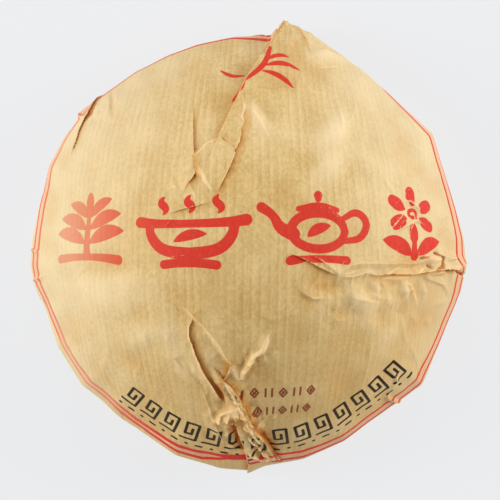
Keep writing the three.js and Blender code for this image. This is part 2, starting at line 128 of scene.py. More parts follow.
FOLDS = [
    # the big flap where the sheet ends, its right-hand edge and the facet below it
    Fold(24, LAP, (11.1, 62.7, 4.5), (9.2, 56.9, 4.5), (3.6, 46.5, 3), (-0.1, 41.1, 2.3),
        (-4.8, 31.8, 1.4), (-7.2, 26.3, 0.9)),
    Fold(1.4, LAP, (12, 60, 4.9), (9.9, 55, 4.9), (7.9, 51.6, 4.4), (3.9, 46.4, 3.1), dark=0.1),
    Fold(0.9, 1.6, (8.3, 59.7, 2.6), (7.3, 55.3, 2.4), (6.5, 53.1, 1.6), (5.1, 50.7)),
    Fold(LAP, 6, (-0.4, 35.7), (-1.1, 29.5, 0.8), (-2.1, 24.8, 0.9), (-4.2, 19.4, 0.9), (-6.4, 15, 0.8),
        (-8.3, 11.6), wear_and_highlight_width=0.24),
    Fold(5, 1.1, (-7.2, 26.3, 0.9), (-10.1, 24.6, 0.8), (-12.7, 21.6, 0.9), (-12.5, 18.7, 0.8),
        (-10.5, 16.2, 0.7), (-8.6, 13.3)),
    Fold(LAP, 1.4, (-6.7, 26.6, 0.4), (-4.9, 24.9, 0.8), (-3.1, 22.9, 1), dark=0.1),
    Fold(1.2, 1.2, (-3.5, 37.5), (-1.4, 35.9, 0.6), (-0.7, 33.3, 0.3), (0.3, 30.7)),
    # creases beside the flap
    Fold(LAP, 5, (-13.9, 37.3), (-13.3, 28.6, 0.5), (-13, 21.6, 0.6), (-12.7, 17.5, 0.8),
        (-14.2, 15.3, 0.6), (-16, 12.9), wear_and_highlight_width=0.26),
    Fold(0.8, 0.8, (-14.9, 29.5), (-14.3, 26.3, 0.5), (-13.7, 21.9, 0.4), (-13.3, 18.3)),
    Fold(1.5, 0.9, (-19.3, 17.1), (-17.6, 14.3, 0.7), (-16.6, 11.9), wear_and_highlight_width=0.25),
    Fold(0.9, 2, (-14.2, 15.3, 0.3), (-12.9, 12.3, 0.7), (-12.7, 9.7), wear_and_highlight_width=0.25),
    Fold(3, LAP, (-20.3, 7.9), (-15.8, 9, 0.5), (-11.7, 9.9, 0.5), (-7.7, 11.4)),
    # ridges over the upper right of the dome
    swell(3, 3, (-0.9, 36.3), (0.6, 33.3, 0.8), (2.8, 29.8, 0.8), (5.7, 24.8)),
    Fold(2, 1, (0.8, 32.9), (1.4, 31.9, 0.8), (2.6, 30.2, 0.9), (3.6, 28.4, 0.5), (5.6, 25, 0.2),
        (8.5, 17), wear_and_highlight_width=0.42),
    Fold(0.7, 0.7, (-1.4, 34.9), (-0.9, 32.8, 0.7), (-1.4, 31, 0.8), (-0.4, 28.8), wear_and_highlight_width=0.5),
    Fold(1.2, 1.2, (-12.5, 20.6), (-11.3, 18.2, 0.7), (-10.3, 15.7, 0.9), (-8.8, 13.6, 0.4), (-8, 12),
        wear_and_highlight_width=0.45),
    Fold(3.2, 1.2, (16.1, 43.9), (18.6, 44.7, 0.6), (22, 44.8, 0.6), (25.8, 43.9), wear_and_highlight_width=0.25),
    swell(5, 6, (15.4, 21.7), (20.7, 28.2, 1.1), (25.4, 33.2)),
    swell(5, 6, (12.9, 12.2), (19.3, 19.2, 1.1), (25.8, 25.3)),
    swell(3.5, 5, (12.9, 45.7), (19.3, 47.5, 1.3), (25.9, 46.7)),
    Fold(2.4, LAP, (10.1, 54.3), (11.9, 52.7, 0.5), (13.7, 50.5, 0.7), (15.3, 47.3)),
    # the pleat that runs in from the right of the rim: creases at its inner end
    Fold(1.6, LAP, (9.2, -1.2), (11.4, -2.1, 0.4), (14.1, -3.3, 0.6), (16.7, -4.8, 0.6),
        (19.7, -6.2, 0.6), (21.4, -6.7)),
    Fold(0.9, 1.4, (13.8, -1.4), (16.7, -2.6, 0.5), (18.7, -4.1, 0.7), (19.9, -5, 0.7),
        (21.6, -6.5, 0.5)),
    swell(3, 4, (12.5, -5.4), (16, -7.4, -0.6), (20.5, -9, -0.6), (24, -9.4)),
    # its upper line, its lower edge, and the crinkles where the edge comes loose
    Fold(0.8, 2.6, (21.6, -6.2, 0.2), (24.1, -4.6, 0.7), (26.3, -3.8, 0.9), (32.1, -3.9, 1.1),
        (37.2, -3.9, 1.2), (40.8, -3.9, 1.2), (43.7, -2.9, 1.3), (47.8, -2.2, 1), (51.5, -2.6, 0.8),
        wear_and_highlight_width=0.08),
    Fold(3.2, LAP, (30.6, -6.9, 0.4), (33.3, -6.6, 1.2), (39.8, -6.6, 1.5), (43.7, -5.9, 1.7),
        (47.8, -5.4, 1.7), (51.1, -5.6, 1.6), (53.4, -4.6, 1.2), (57, -3.9), wear_and_highlight_width=0.12, dark=0.16),
    Fold(2.2, 0.9, (22.4, -7.2, 0.3), (25.1, -7, 0.9), (28.3, -6, 0.9), (31.6, -7, 0.5)),
    Fold(0.9, 0.9, (22.2, -6.4), (24.6, -6.2, 0.6), (26.4, -5.2), wear_and_highlight_width=0.25),
    Fold(0.8, 0.8, (27.9, -7.9), (28.4, -6.6, 0.7), (29.4, -5.4)),
    Fold(0.7, 0.7, (24.4, -8.9), (24.9, -7.4, 0.7), (25.4, -6.4)),
    Fold(0.8, 1.2, (33.1, -6.6, 0.9), (36.2, -5.2, 0.9), (38.4, -4.1)),
    Fold(0.9, 0.8, (40.6, -6.5, 1.3), (42.6, -5.2, 1), (43.4, -4.4)),
    # the knot near its outer end, with a painted highlight on it and painted shade in the gaps round it
    swell(2.6, 2.6, (44.2, -3.3, 1.7), (45.2, -3.3, 1.7)),
    Fold(1.5, 1.5, (44, -3.2, 1), (45, -3.2, 1), wear_and_highlight_width=1.3),
    Fold(0.7, 0.7, (45.5, -1.1), (46.9, -1.7, -0.8), (47.9, -2.9, -1), (47.9, -3.9, -1),
        (47.1, -4.9, -0.8), (45.2, -5.6), dark=0.38),
    Fold(0.6, 0.6, (41.4, -3.3), (43.1, -2.6, -1), (44.8, -2), dark=0.16),
    Fold(0.6, 0.6, (43.4, -3.9), (43.9, -4.8, -1.2), (44.9, -5.4), dark=0.18),
    Fold(0.7, 0.7, (49.2, -4.7), (49.7, -5.9, -0.9), (50.3, -7), dark=0.18),
    Fold(0.8, 1, (51.8, -5.7), (53.1, -6.3, -1.4), (54.6, -7, -1), (57, -7.6), dark=0.22),
    Fold(2.2, 0.9, (42.4, -6.8), (44.5, -7.9, 0.6), (47, -8.7, 0.7), (48.7, -9.5, 0.6), (50.4, -12.2)),
    Fold(1.2, 0.8, (45.4, -6.9, 0.5), (47.8, -6.4, 0.9), (49.7, -7.6)),
    # a curved crease below its inner end, and sharp ones over the print on the right
    Fold(2.5, 0.9, (11.5, -9.3), (13.6, -11, 0.8), (15.6, -12.3, 0.8), (18.5, -12), wear_and_highlight_width=0.3),
    Fold(1.5, 1, (3, -15.6), (4.7, -16.9, 0.5), (6.7, -18.5)),
    Fold(1, 1.6, (38, 11.2), (39.6, 11.2, 0.8), (41.6, 9.6, 0.9), (42.6, 7.2), wear_and_highlight_width=0.25),
    Fold(1.2, 0.8, (35.6, 3.6), (37.4, 4.7, 0.7), (39.3, 5.7, 1), (41.2, 6.7, 0.8), (44, 5.2), wear_and_highlight_width=0.25),
    Fold(1, 1, (39.4, 1.9), (39.6, 4.4, 0.7), (40.4, 6.6, 0.9), (40.2, 9.4)),
    Fold(1.6, 1.6, (32.8, 2.9), (35.1, 5.2, 0.6), (36.7, 6.9, 0.6), (38.6, 9.4)),
    # the long crumple that runs down to the rim below: its upper ridge and loop
    Fold(3.5, 1.3, (-19.1, -11.1), (-16.1, -14.2, 0.5), (-12.9, -16.9, 1), (-9.1, -20.7, 1.1),
        (-5.9, -25.4, 1.4), (-4.3, -27.9, 1.8)),
    Fold(0.9, 0.8, (-11.3, -21.2), (-9.8, -20.5, 0.6), (-8.3, -21.5, 0.9), (-7.1, -23.2, 1),
        (-6.2, -24.7, 0.9)),
    # a rolled lip that laps over the trough beside it
    Fold(LAP, 3.6, (-12.9, -16.5, 0.5), (-14.2, -19.1, 0.6), (-14.2, -21.3, 0.7), (-12.5, -25.9, 0.9),
        (-11.1, -28.9, 1.1), (-9.2, -32.4, 0.9), (-7.2, -36.4, 0.7), (-6.3, -38.3), wear_and_highlight_width=0.55, dark=0.16),
    Fold(1.4, 0.9, (-9.9, -28.9), (-9.1, -30.9, -0.2), (-7.9, -33.5, -0.6), (-6.6, -36.4, -1),
        (-5.6, -38.9), dark=0.4),
    Fold(0.8, 0.8, (-8.4, -32.6), (-7.2, -31.9, 0.9), (-6, -31.9, 1.5)),
    # the strip that laps over towards the right, from the peak to the rim
    Fold(1.6, LAP, (-4.3, -27.9, 1.8), (-5.2, -30.1, 1.6), (-6, -31.9, 1.6), (-6, -33.6, 1.5),
        (-4.6, -35.9, 1.5), (-3.3, -37.4, 1.3)),
    Fold(LAP, 5, (-6, -31.4, 1.4), (-4.2, -33, 1.7), (-2.6, -34.9, 1.9), (-0.9, -38.4, 2.2),
        (0.9, -42.3, 2.3), (2.2, -44.8, 2.3), (3.7, -46.7, 2), (5, -48.8, 1.6), (7.9, -53.1, 0.6),
        wear_and_highlight_width=0.3),
    Fold(1.6, 1.1, (-4.3, -28.6, 1.5), (-3.3, -29.8, 1.4), (-2.1, -31.6, 1.3), (-1.1, -30.1, 1.5),
        (0.1, -28.3, 1.5), (1.3, -26.1, 1.4), (3.3, -24.9, 1.2), (4.2, -22.9, 0.8), (5.2, -19.9),
        wear_and_highlight_width=0.75),
    Fold(1.5, 1.5, (-4.1, -28.9, 1.4), (-3.3, -29.8, 1.5), (-2.3, -31.3, 1.3), wear_and_highlight_width=1.3),
    # the lumps and the facets at its foot, and the recesses beside them, two of them darkened with
    # painted shade
    swell(2.8, 2.8, (-7.2, -42.2, 0.8), (-5.2, -41, 1), (-3.2, -39.6, 1.1)),
    Fold(1.3, 0.8, (-7.9, -43.1), (-7, -41.8, 1), (-6.5, -40.5, 0.5), wear_and_highlight_width=0.25),
    Fold(0.9, 1.4, (-5.7, -43.2, 0.3), (-5, -41.7, 1.2), (-4.5, -39.9, 0.4), wear_and_highlight_width=0.3),
    Fold(0.8, 1, (-3.6, -42.2, 0.6), (-3.2, -40.8, 1.3), (-2.8, -39.2, 0.5), wear_and_highlight_width=0.25),
    Fold(LAP, 3, (-2.3, -40.4, 1.2), (-3.6, -42.4, 1.1), (-5.4, -43.4, 0.9), (-8.3, -43.6)),
    Fold(0.9, 1.3, (-8.2, -42.8), (-6.6, -40.4, 0.8), (-4.4, -39.3, 0.9), (-2.7, -38.4, 0.7), wear_and_highlight_width=0.3),
    Fold(4, 1.6, (-5.4, -32.6, 1.5), (-3.9, -34.9, 1.8), (-2.2, -37.9, 2.1), (-0.4, -41.7, 2.3),
        (1, -44.9, 2.2), (2.7, -47.7, 1.6), wear_and_highlight_width=0.4),
    Fold(0.7, 0.7, (-4.6, -33.2, 1.6), (-3.1, -34.1, 2.1), (-1.9, -35.2, 1.7), wear_and_highlight_width=0.4),
    Fold(0.7, 0.8, (-3.4, -36.9, 1.6), (-1.8, -37, 2.4), (-0.6, -38.3, 2), wear_and_highlight_width=0.4),
    Fold(0.7, 0.7, (-2.6, -39.9, 1.6), (-0.9, -40.2, 2.6), (0.6, -41.6, 2.1), wear_and_highlight_width=0.4),
    Fold(0.8, 0.7, (-1.2, -43.4, 1.8), (0.6, -43.6, 2.7), (1.9, -44.9, 2.1), wear_and_highlight_width=0.4),
    Fold(6, LAP, (-3, -42.5, 1.2), (-2.1, -45.3, 1.4), (-1.1, -48, 1.4), (-0.5, -51.3, 1.3),
        (-0.2, -54.1, 1), (-0.4, -57, 0.8), (-0.6, -62.3)),
    swell(2.8, 2.8, (-1.9, -44.2, 0.9), (-0.6, -48, 1.1), (0.6, -52, 0.6)),
    Fold(1.3, 1.3, (0.3, -45.9, 2.2), (2.1, -48.6, 1.4), (3.5, -50.9, 1.8), (5.1, -52.1, 1)),
    Fold(1.1, 1.1, (-0.7, -49.5, 1.6), (1.1, -50.7, 2), (2.9, -52.5, 1.5), (5.9, -52.9, 1)),
    Fold(1, 2, (-4, -43.3, -0.6), (-3.3, -45.9, -1.5), (-2.3, -49.1, -1.4), (-1.6, -51.3), dark=0.5),
    Fold(2.2, 0.9, (2.1, -42.7), (3.8, -45.9, -0.7), (5.4, -49.2, -1.1), (6.8, -52.3, -0.7),
        (7.5, -54.3), dark=0.4),
    Fold(2, 1.6, (-1.7, -36.3), (0.5, -38.3, -0.7), (2.3, -41.7, -0.5), (2.9, -43.9), dark=0),
    # creases that run on beside it
    Fold(1.6, 3.2, (-15.5, -27.1), (-14.3, -31.2, 0.25), (-11.6, -34.4, 0.3), (-10.4, -37.5, 0.45),
        (-9, -41.4, 0.7), (-7.6, -45.3, 0.5), (-5.7, -50.1), wear_and_highlight_width=0.4),
    # the slit where the sheet stands off at the upper left of the rim, darkened with painted shade, and
    # the tab outside it
    Fold(LAP, 2, (-37, 40.2), (-38, 38, 0.4), (-39.6, 34.9, 0.6), (-41, 32.4, 0.5), (-41.9, 30.2),
        dark=1.9),
    Fold(LAP, 3, (-40.4, 33.4), (-41.3, 31.6, 0.5), (-42.1, 29.6, 0.6), (-43.1, 26.8, 0.5),
        (-44, 24.6, 0.4), (-45, 22.7), dark=0.35),
    Fold(0.9, 1.6, (-41.4, 32.7, 0.4), (-42.7, 32.8, 0.8), (-43.2, 33.8, 0.9), (-41.7, 35.3, 0.7),
        (-40, 37.3)),
    Fold(1, 1, (-43.3, 33), (-44.4, 31.7, -0.4), (-45.7, 29.2), dark=1.6),
    swell(2, 1.2, (-34.9, 39.6), (-34.5, 37.6, -0.4), (-34.3, 35, -0.4), (-34, 32)),
    # kinks round the rim
    Fold(0.8, 1.4, (-56.1, -0.5), (-54.5, -0.7, 0.7), (-52.1, -1.3)),
    Fold(0.8, 1.4, (-55.6, -8.6), (-53.5, -7.9, 0.8), (-50.7, -7)),
    Fold(1.6, 0.8, (33.4, -37.1), (36.3, -38.7, 0.9), (39.3, -40.1, 0.6), (40.9, -41.3)),
    Fold(1.6, 1.2, (34.6, -29.1), (36.8, -33.2, 0.7), (35.2, -36.6)),
    # broad swells at the lower left
    swell(5, 12, (-49.2, -11.3), (-40, -9.6, 0.6), (-30, -8.4, 0.8), (-19.4, -9.2)),
    swell(7, 5, (-31.1, -24.8), (-25.3, -21.4, 0.8), (-20.6, -18.3)),
    swell(5, 7, (-20.7, -12.8), (-19.1, -20.1, 0.6), (-14.9, -25.5)),
    # short hanging folds under the pleat on the right
    swell(1.8, 2.6, (30.1, -7.7), (31.1, -10.4, 0.8), (30.9, -12.9)),
    swell(1.8, 2.6, (37.7, -7.6), (38.5, -11, 0.9), (39.3, -13.5)),
    swell(1.6, 2.6, (42.4, -8.1), (43.8, -11.1, 0.8), (43.6, -14.1)),
    swell(4, 4, (22.6, -11.6), (26.1, -13, 0.6), (29.6, -14.2, 0.6), (33.4, -14.8)),
    Fold(3.2, 2.2, (22.6, -11.2), (26, -12.2, 0.7), (29.6, -13, 0.7), (33.6, -13.6)),
    Fold(2.2, 2.8, (27.2, -9), (27.8, -12.5, 0.6), (26.4, -15.8)),
    Fold(2, 2.6, (33.4, -9), (33.8, -12.7, 0.7), (32.2, -16.2), wear_and_highlight_width=0.3),
    Fold(1.6, 2.4, (18.6, -16), (21.4, -17.6, 0.5), (25.2, -17.8)),
    Fold(1.2, 2.2, (38, -7.6), (40.4, -10.2, 0.8), (41.4, -13, 0.5), (41.6, -15), wear_and_highlight_width=0.6),
    Fold(1.2, 1.8, (31.9, -7.9), (36.1, -7.7, 0.6), (41, -7.6), wear_and_highlight_width=0.6),
    swell(2.4, 2.4, (14.8, -10.8), (18.7, -10.6, -0.5), (22.9, -9.9)),
]

# Where the paper is creased by handling: (x, y, radius, how many, longest, rise).
CREASED = [
    (0, 0, 50, 46, 14, 0.18),
    (28, -14, 13, 14, 9, 0.40),
    (26, -7, 8, 14, 5, 0.45),
    (40, -12, 8, 8, 7, 0.40),
    (46, -3, 6, 16, 5, 0.55),
    (40, 7, 8, 10, 8, 0.36),
    (-15, 13, 7, 12, 7, 0.40),
    (10, 50, 8, 10, 8, 0.36),
    (-4, -44, 6, 16, 4, 0.60),
    (-13, -26, 9, 8, 8, 0.30),
    (38, -30, 12, 10, 12, 0.30),
    (24, 28, 16, 14, 14, 0.30),
    (-47, -6, 10, 8, 9, 0.26),
    (-42, 32, 6, 6, 6, 0.30),
    (-30, -38, 12, 8, 10, 0.22),
    (1.5, -26.5, 4.5, 14, 3.5, 0.5),
    (1, -42, 5, 14, 4, 0.5),
    (-10, -33, 5, 8, 5, 0.3),
]


def handling_creases():
    """Short straight-sided creases of random direction, most of them ridges."""
    rng = np.random.default_rng(17)
    creases = []
    for x, y, radius, count, longest, rise in CREASED:
        for _ in range(count):
            turn, reach = rng.uniform(0, 2 * math.pi), radius * math.sqrt(rng.random())
            px, py = x + reach * math.cos(turn), y + reach * math.sin(turn)
            heading = rng.uniform(0, 2 * math.pi)
            step = longest * rng.uniform(0.35, 1) / 3
            height = rise * rng.uniform(0.5, 1.2) * (1 if rng.random() < 0.85 else -0.6)
            path = [(px, py)]
            for share in (0.8, 1, 0):
                heading += rng.normal(0, 0.3)
                px, py = px + step * math.cos(heading), py + step * math.sin(heading)
                path.append((px, py, height * share))
            creases.append(Fold(rng.uniform(0.6, 2.6), rng.uniform(0.6, 2.6), *path, wear_and_highlight_width=0.1, dark=0))
    return creases


# ---- the section of the skin, from the top of the dome round to the roof of the hollow ----

def dome_height(t):
    """Height at a share t of the way from the dome's middle to its rim."""
    return RIM_HEIGHT + DOME_RISE * np.clip(1 - t**DOME_FULLNESS, 0, None) ** DOME_SHOULDER


def unit(x):
    return np.clip(x, 0, 1)


def smoothstep(x):
    x = unit(x)
    return x * x * (3 - 2 * x)


class Section:
    """The skin's reach and height along a length of paper, for a rim at the mean radius."""

    def __init__(self):
        t = np.linspace(0, 1, 1201)
        bend = np.linspace(0, math.pi / 2, 121)[1:]
        flat = np.linspace(0, 1, 41)[1:]
        wall = np.linspace(0, 1, 121)[1:]
        roof = np.linspace(1, 0, 81)[1:]
        lead = len(t) + len(bend)
        self.reach = np.concatenate([
            RIM_RADIUS * t,
            RING_OUTER + (RIM_RADIUS - RING_OUTER) * np.cos(bend),
            RING_OUTER + (RING_INNER - RING_OUTER) * flat,
            RING_INNER + (HOLLOW_RADIUS - RING_INNER) * wall,
            HOLLOW_RADIUS * roof,
        ])
        self.height = np.concatenate([
            dome_height(t),
            RIM_HEIGHT * (1 - np.sin(bend)),
            0 * flat,
            HOLLOW_HEIGHT * smoothstep(wall),
            0 * roof + HOLLOW_HEIGHT,
        ])
        # how much of the rim's own outline the skin still follows
        self.follow = np.zeros(len(self.reach))
        self.follow[:len(t)] = t ** (OUTLINE_REACH + 1)
        self.follow[len(t):lead] = np.cos(bend)
        steps = np.hypot(np.diff(self.reach), np.diff(self.height))
        self.length = np.concatenate([[0], np.cumsum(steps)])
        self.share = t
        self.to_rim = self.length[len(t) - 1]
        self.to_ring = self.length[lead - 1]
        self.to_wall = self.length[lead + len(flat) - 1]
        self.to_roof = self.length[lead + len(flat) + len(wall) - 1]
        self.total = self.length[-1]
        self.outward = -np.gradient(self.height, self.length)
        self.upward = np.gradient(self.reach, self.length)

    def at(self, column, length):
        return np.interp(length, self.length, column)


SECTION = Section()


def outline_radius(angle):
    """The rim's distance in a direction: straight between the corners, which are a bit blunt."""
    degrees, radii = np.array(RIM_CORNERS, float).T

    def straight(at):
        at = np.degrees(at) % 360
        after = np.searchsorted(degrees, at, side="right")
        a = (after - 1) % len(degrees)
        b = after % len(degrees)
        gap = np.radians((degrees[b] - degrees[a]) % 360)
        run = np.radians((at - degrees[a]) % 360)
        across = radii[a] * np.sin(run) + radii[b] * np.sin(gap - run)
        return radii[a] * radii[b] * np.sin(gap) / across

    blunt = math.radians(0.8)
    return (straight(angle - blunt) + 2 * straight(angle) + straight(angle + blunt)) / 4


def unroll(x, y):
    """Where a point seen from above lies on the flat sheet."""
    px, py = x - DOME_CENTRE[0], y - DOME_CENTRE[1]
    angle = np.arctan2(py, px)
    reach = np.hypot(px, py)
    outline = outline_radius(angle)
    t = np.clip(reach / RIM_RADIUS, 1e-6, 1)
    for _ in range(10):
        plan = t * (RIM_RADIUS + (outline - RIM_RADIUS) * t**OUTLINE_REACH)
        t = np.clip(t * reach / plan, 1e-6, 1)
    on_dome = np.interp(t, SECTION.share, SECTION.length[:len(SECTION.share)])
    length = np.where(reach < outline, on_dome, SECTION.to_rim + reach - outline)
    return length * np.cos(angle), length * np.sin(angle)


# ---- noise, from fixed seeds ----

def cloud_noise(x, y, seed):
    """Smooth noise between about -1 and 1, with one swell to each unit."""
    size = 64
    angles = np.random.default_rng(seed).random((size, size)) * 2 * math.pi
    xi, yi = np.floor(x).astype(int), np.floor(y).astype(int)
    fx, fy = x - xi, y - yi

    def pull(dx, dy):
        a = angles[(xi + dx) % size, (yi + dy) % size]
        return np.cos(a) * (fx - dx) + np.sin(a) * (fy - dy)

    sx, sy = smoothstep(fx), smoothstep(fy)
    low = pull(0, 0) * (1 - sx) + pull(1, 0) * sx
    high = pull(0, 1) * (1 - sx) + pull(1, 1) * sx
    return 1.5 * (low * (1 - sy) + high * sy)


def facet_noise(x, y, seed, creases=6):
    """Flat facets with straight creases between them, like paper that was crumpled."""
    rng = np.random.default_rng(seed)
    total = np.zeros_like(x)
    for k in range(creases):
        angle = math.pi * (k + rng.random()) / creases
        warp = 0.35 * cloud_noise(x / 2.5, y / 2.5, seed + 10 + k)
        phase = (x * math.cos(angle) + y * math.sin(angle)) / rng.uniform(0.8, 1.7)
        phase = phase + warp + rng.random()
        total += np.abs(2 * (phase - np.floor(phase + 0.5))) - 0.5
    return total / creases * 2


# ---- the folds, laid on the sheet ----

def near_path(u, v, pu, pv, margin):
    """Which places lie in the box round a path, grown by a margin."""
    near = (u > pu.min() - margin) & (u < pu.max() + margin)
    near &= (v > pv.min() - margin) & (v < pv.max() + margin)
    return np.nonzero(near)[0]


FINE_FOLDS = handling_creases()


class Hits:
    """The places near one fold: how far off they are, on which side, and the fold's rise there."""

    def __init__(self, fold, u, v):
        x, y, rise = (np.array(column, float) for column in zip(*fold.path))
        pu, pv = unroll(x, y)
        self.index = near_path(u, v, pu, pv, max(fold.left, fold.right, LAP_STRETCH) + 1)
        nu, nv = u[self.index], v[self.index]
        self.distance = np.full(len(nu), np.inf)
        self.rise = np.zeros(len(nu))
        self.left = np.zeros(len(nu), bool)
        self.point = np.zeros((len(nu), 2))
        self.side = np.zeros((len(nu), 2))     # unit direction to the left of the path
        self.inside = np.zeros(len(nu), bool)  # not beyond either end of the path
        last = len(pu) - 2
        for k in range(last + 1):
            du, dv = pu[k + 1] - pu[k], pv[k + 1] - pv[k]
            span = math.hypot(du, dv)
            raw = ((nu - pu[k]) * du + (nv - pv[k]) * dv) / span**2
            share = unit(raw)
            qu, qv = pu[k] + share * du, pv[k] + share * dv
            distance = np.hypot(nu - qu, nv - qv)
            closer = distance < self.distance
            beyond = ((raw < 0) & (k == 0)) | ((raw > 1) & (k == last))
            self.distance = np.where(closer, distance, self.distance)
            self.rise = np.where(closer, rise[k] + share * (rise[k + 1] - rise[k]), self.rise)
            self.left = np.where(closer, du * (nv - pv[k]) - dv * (nu - pu[k]) > 0, self.left)
            self.inside = np.where(closer, ~beyond, self.inside)
            self.point[closer] = np.stack([qu, qv], 1)[closer]
            self.side[closer] = (-dv / span, du / span)
        self.width = np.where(self.left, fold.left, fold.right)


def snap_to_folds(u, v, cell):
    """Moves grid corners onto the crest of a fold, and onto the foot of a lap."""
    nearest = np.full(len(u), cell * SNAP_SHARE)
    new_u, new_v = u.copy(), v.copy()
    for fold in FOLDS + FINE_FOLDS:
        if fold.soft:
            continue
        hits = Hits(fold, u, v)
        steep = hits.inside & (hits.width == LAP)
        foot = hits.point + hits.side * np.where(hits.left, LAP, -LAP)[:, None]
        for target, usable in ((hits.point, hits.inside), (foot, steep)):
            du = target[:, 0] - u[hits.index]
            dv = target[:, 1] - v[hits.index]
            move = np.where(usable, np.hypot(du, dv), np.inf)
            better = move < nearest[hits.index]
            index = hits.index[better]
            nearest[index] = move[better]
            new_u[index] = target[better, 0]
            new_v[index] = target[better, 1]
    return new_u, new_v


class Relief:
    """What the folds do at each place: height, slide under a lap, and the lines along them."""

    def __init__(self, u, v):
        self.swell = np.zeros(len(u))
        self.slide = np.zeros((len(u), 2))
        self.wear_and_highlight = np.full(len(u), FAR)     # how far off the edge of a pale line of wear and painted highlight is
        self.gap = np.full(len(u), FAR)        # and of a dark line of painted shade
        self.warm = np.zeros(len(u))           # how strong the warm shade beside a lap is
        self.height = self.swell
        for folds in (FOLDS, FINE_FOLDS):
            raised = np.zeros(len(u))
            sunk = np.zeros(len(u))
            for fold in folds:
                self.add(fold, Hits(fold, u, v), raised, sunk)
            self.height = self.height + raised + sunk

    def add(self, fold, hits, raised, sunk):
        index = hits.index
        nearness = unit(1 - hits.distance / hits.width)
        if fold.soft:
            self.swell[index] += hits.rise * smoothstep(nearness)
            return
        steep = hits.width == LAP
        height = hits.rise * np.where(steep, nearness, nearness**CREST_POINT)
        raised[index] = np.maximum(raised[index], height)
        sunk[index] = np.minimum(sunk[index], height)
        self.add_slide(hits, steep)
        # a pale line along the crest, partly wear and partly a painted highlight, and dark lines of
        # painted shade at the foot of a lap and along a groove
        self.add_line(self.wear_and_highlight, hits, hits.distance, fold.wear_and_highlight_width, hits.rise > 0)
        self.add_line(self.gap, hits, np.abs(hits.distance - LAP), fold.dark, steep & (hits.rise > 0))
        self.add_line(self.gap, hits, hits.distance, 1.5 * fold.dark, hits.rise < 0)
        # painted warm shade beside the foot of a lap
        strength = unit(np.abs(hits.rise) / FULL_LINE) * min(1, fold.dark / FULL_WARMTH)
        beside = unit(1 - (hits.distance - LAP) / WARM_REACH) * steep
        self.warm[index] = np.maximum(self.warm[index], beside * strength)

    @staticmethod
    def add_line(edge, hits, distance, half_width, here):
        """A line that is full where the fold is high and dies out with it."""
        strength = unit(np.abs(hits.rise) / FULL_LINE) * here * (half_width > 0)
        off = distance + LINE_EDGE - (half_width + LINE_EDGE) * strength
        edge[hits.index] = np.minimum(edge[hits.index], off)

    def add_slide(self, hits, steep):
        """The foot of a lap lies under its edge, and the paper beside it follows."""
        beyond = unit((hits.distance - LAP) / LAP_STRETCH)
        pull = np.where(hits.distance < LAP, hits.distance / LAP, (1 - beyond) ** 2)
        lift = unit(hits.rise / 0.6)
        amount = (LAP + UNDER) * pull * lift * steep * np.where(hits.left, -1, 1)
        self.slide[hits.index] += hits.side * amount[:, None]


def soft_unevenness(u, v, length, angle):
    """What no single fold makes: slack swells, faint facets and gathers towards the rim."""
    low = 0.36 * cloud_noise(u / 22, v / 22, 3) + 0.18 * cloud_noise(u / 9, v / 9, 4)
    facets = 0.36 * facet_noise(u / 16, v / 16, 5) * smoothstep((length - 12) / 20)
    gathers = 0.16 * cloud_noise(angle * 14, length / 45, 6) * smoothstep((length - 45) / 30)
    return low + facets + gathers


def crumple(u, v):
    """Small sharp facets where the paper is crushed, and how crushed it is, from 0 to 1.

    The places are (x, y, radius, height, facet size).
    """
    places = [
        (-3.6, -42.3, 9, 1, 4),
        (0.4, -49.3, 8, 0.8, 3.5),
        (-3.1, -36.3, 4, 0.5, 1.8),
        (0.6, -44.3, 5, 0.6, 2),
        (-5.4, -41.8, 3.5, 0.8, 2.2),
        (0.6, -28.1, 4, 0.4, 1.8),
        (-9.1, -24.3, 8, 0.35, 5),
        (45.9, -4.3, 7, 0.6, 3.2),
        (-11.1, 14.7, 9, 0.35, 5),
        (40.9, 3.7, 9, 0.35, 5),
        (17.9, -10.3, 13, 0.5, 8),
        (32.9, -13.3, 15, 0.65, 8),
        (37.9, -32.3, 12, 0.35, 9),
        (-40.1, 33.7, 7, 0.5, 4),
        (8.9, 51.7, 7, 0.5, 4),
    ]
    total = np.zeros_like(u)
    crushed = np.zeros_like(u)
    for k, (x, y, radius, height, size) in enumerate(places):
        cu, cv = unroll(x, y)
        mask = height * smoothstep(1.3 - np.hypot(u - cu, v - cv) / radius)
        total += mask * facet_noise(u / size, v / size, 40 + 7 * k)
        crushed = np.maximum(crushed, mask)
    return total, crushed


def underside_relief(angle, length):
    """Pleats laid one way: they start under the rim and turn in to the tail in the hollow."""
    under = unit((length - SECTION.to_rim) / (SECTION.total - SECTION.to_rim))
    rng = np.random.default_rng(11)
    edges = np.sort((np.arange(PLEAT_COUNT) + rng.uniform(-0.28, 0.28, PLEAT_COUNT)) / PLEAT_COUNT)
    depth = rng.uniform(0.6, 1.2, PLEAT_COUNT)
    twist = PLEAT_TWIST * under + 0.02 * np.sin(5 * angle + 9 * under)
    turn = (angle / (2 * math.pi) + twist) % 1
    which = np.searchsorted(edges, turn, side="right") - 1
    start = edges[which]
    gap = (edges[(which + 1) % PLEAT_COUNT] - start) % 1
    along = ((turn - start) % 1) / gap
    saw = unit(along / PLEAT_RISE) - unit((along - PLEAT_RISE) / PLEAT_DROP)
    grown = smoothstep((length - SECTION.to_rim) / 7)
    return depth[which] * saw, grown


# ---- wrapping the sheet ----

